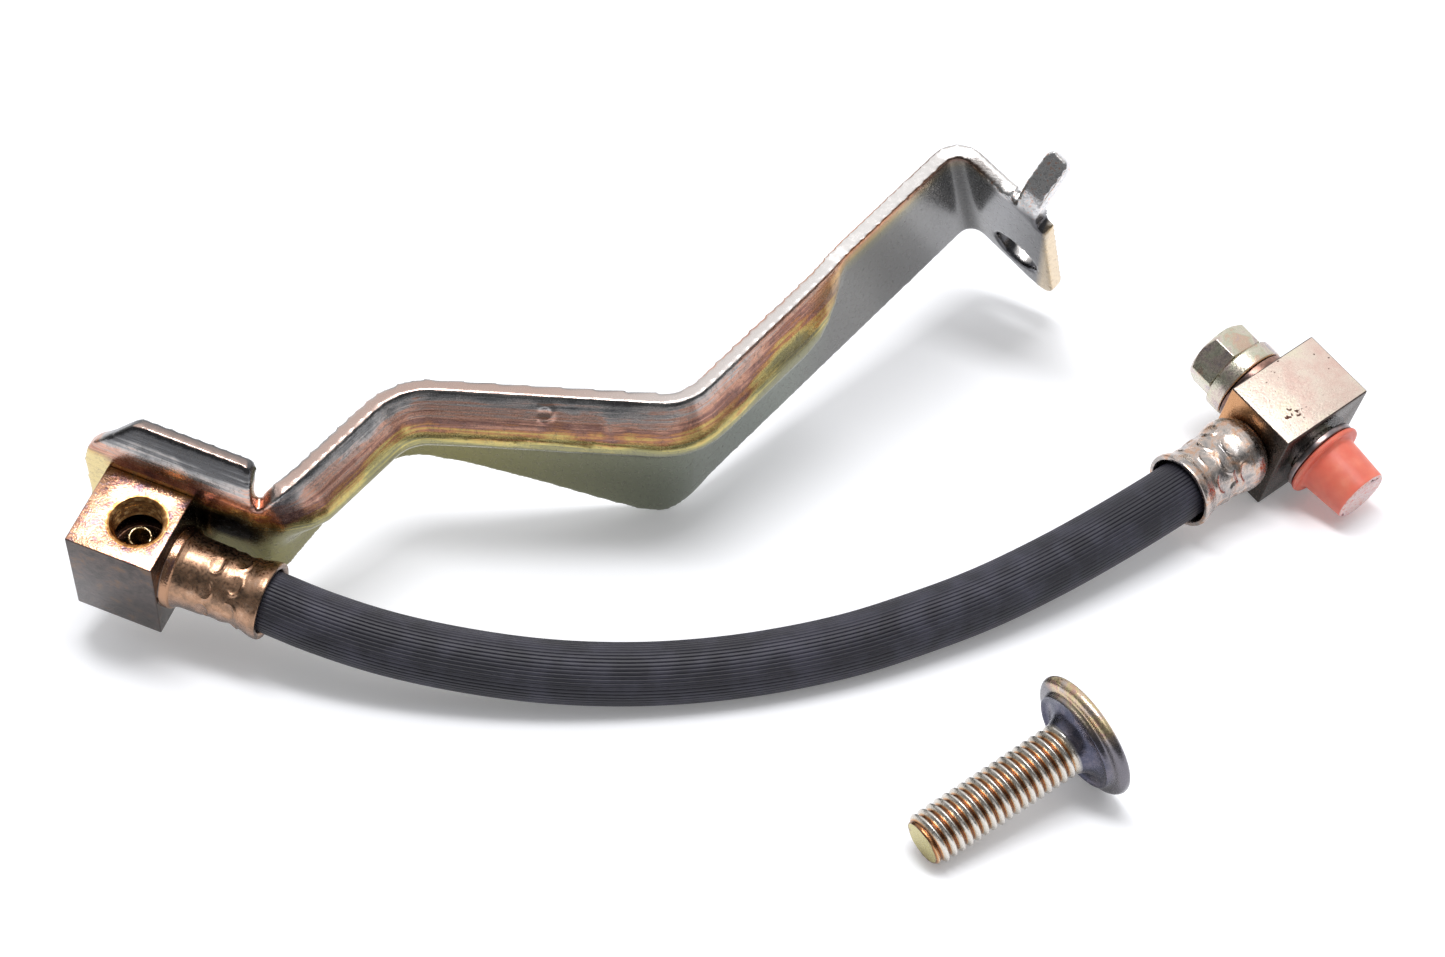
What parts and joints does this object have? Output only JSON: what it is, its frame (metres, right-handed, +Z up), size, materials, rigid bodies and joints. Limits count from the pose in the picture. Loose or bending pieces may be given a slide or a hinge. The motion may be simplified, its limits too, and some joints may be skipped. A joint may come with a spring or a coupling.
{
  "type": "brake hose kit",
  "caption": "Rubber brake hose with a square inlet fitting on a bent steel bracket, a banjo fitting with capped bolt at the other end, and a loose mounting screw.",
  "frame": {"origin": "on the surface the kit lies on, under the middle of its outline without the hose", "axes": "+Z up, +X from the inlet block to the banjo end, +Y away from the loose screw towards the bracket"},
  "size_m": [0.2304, 0.1533, 0.0532],
  "materials": {
    "zinc_plated_steel": "yellow zinc plated pressed steel",
    "inlet_brass": "dull machined brass",
    "ferrule_brass": "drawn and crimped brass",
    "hose_rubber": "finely ribbed black rubber",
    "ferrule_steel": "plated and crimped steel",
    "banjo_steel": "plated sawn steel bar",
    "bolt_steel": "yellow zinc plated steel",
    "washer_copper": "soft copper washer",
    "washer_steel": "plated steel washer",
    "cap_plastic": "soft red moulded plastic",
    "screw_steel": "yellow zinc plated steel"
  },
  "bodies": {
    "hose_assembly": {"bracket": "zinc_plated_steel", "inlet_block": "inlet_brass", "inlet_stem": "inlet_brass", "inlet_ferrule": "ferrule_brass", "hose": "hose_rubber", "banjo_ferrule": "ferrule_steel", "banjo_stem": "ferrule_steel", "banjo_block": "banjo_steel", "mounting_screw": "screw_steel"},
    "head_washer": {"head_washer": "washer_copper"},
    "bolt": {"banjo_bolt": "bolt_steel", "caliper_washer": "washer_steel"},
    "cap": {"thread_cap": "cap_plastic"}
  },
  "joints": [
    {"name": "bolt_play", "type": "slide", "parent": "hose_assembly", "child": "head_washer", "axis": [-0.6237, 0.7246, 0.2932], "range_m": [0, 0.0011]},
    {"name": "bolt_turn", "type": "hinge", "parent": "head_washer", "child": "bolt", "pos_m": [0.0989, 0.0229, 0.0123], "axis": [-0.6237, 0.7246, 0.2932], "continuous": true},
    {"name": "cap_pull", "type": "slide", "parent": "bolt", "child": "cap", "axis": [0.6237, -0.7246, -0.2932], "range_m": [0, 0.012]}
  ]
}
